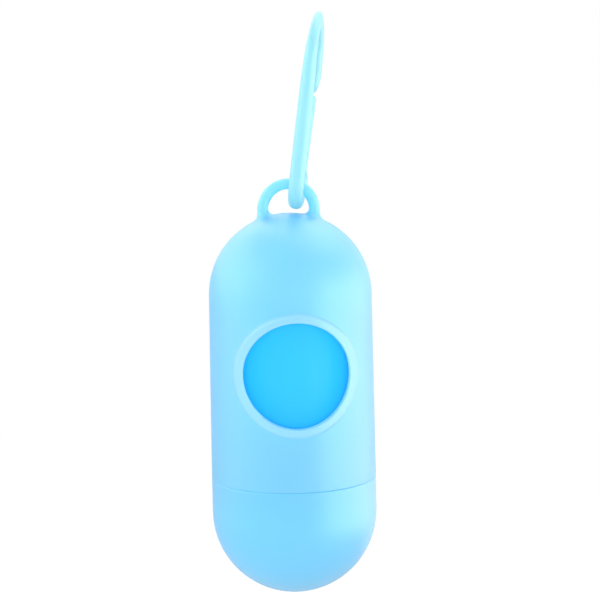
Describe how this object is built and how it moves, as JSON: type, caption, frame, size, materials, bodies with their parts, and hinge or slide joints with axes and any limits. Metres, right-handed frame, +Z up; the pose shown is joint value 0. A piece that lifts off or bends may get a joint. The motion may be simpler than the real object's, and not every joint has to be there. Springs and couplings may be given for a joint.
{
  "type": "dog poop bag dispenser",
  "caption": "Capsule dispenser for rolls of pet waste bags, with a round rimmed window, a screw cap below, an eyelet on top and a moulded snap hook.",
  "frame": {"origin": "the inside of the hook's top bend, where a leash or ring carries it", "axes": "+Z up along the hanging capsule's axis, which is 7.7 mm to the left of the origin; the window looks along -Y; +X to the right as seen from the window"},
  "size_m": [0.04, 0.0408, 0.1403],
  "materials": {
    "hook_plastic": "pale blue moulded polypropylene, satin, slightly translucent",
    "body_plastic": "light blue moulded polypropylene, satin, slightly translucent",
    "cap_plastic": "light blue moulded polypropylene, satin, slightly translucent",
    "cardboard": "plain wound cardboard",
    "bag_film": "wound polyethylene film, soft sheen"
  },
  "bodies": {
    "hook": {"carabiner_frame": "hook_plastic"},
    "gate": {"carabiner_gate": "hook_plastic"},
    "dispenser": {"body": "body_plastic"},
    "core": {"roll_core": "cardboard"},
    "cap": {"cap": "cap_plastic"},
    "bags": {"bag_roll": "bag_film"}
  },
  "joints": [
    {"name": "gate_flex", "type": "hinge", "parent": "hook", "child": "gate", "pos_m": [-0.00365, 0.00633, -0.03266], "axis": [0.9781, -0.1547, -0.1392], "range_deg": [0, 25], "stiffness_Nm_per_rad": 0.05},
    {"name": "dispenser_swing", "type": "hinge", "parent": "hook", "child": "dispenser", "pos_m": [-0.00583, 0, -0.04094], "axis": [0.1532, 0.988, -0.0218], "range_deg": [-100, 100]},
    {"name": "thread_travel", "type": "slide", "parent": "dispenser", "child": "core", "axis": [0, 0, -1], "range_m": [0, 0.0034]},
    {"name": "cap_turn", "type": "hinge", "parent": "core", "child": "cap", "pos_m": [-0.0077, 0, -0.11795], "axis": [0, 0, -1], "range_deg": [0, 341]},
    {"name": "bag_roll_spin", "type": "hinge", "parent": "core", "child": "bags", "pos_m": [-0.0077, 0, -0.09495], "axis": [0, 0, 1], "continuous": true}
  ],
  "couplings": [
    {"joint": "cap_turn", "follows": "thread_travel", "rad_per_m": 1745.3}
  ]
}
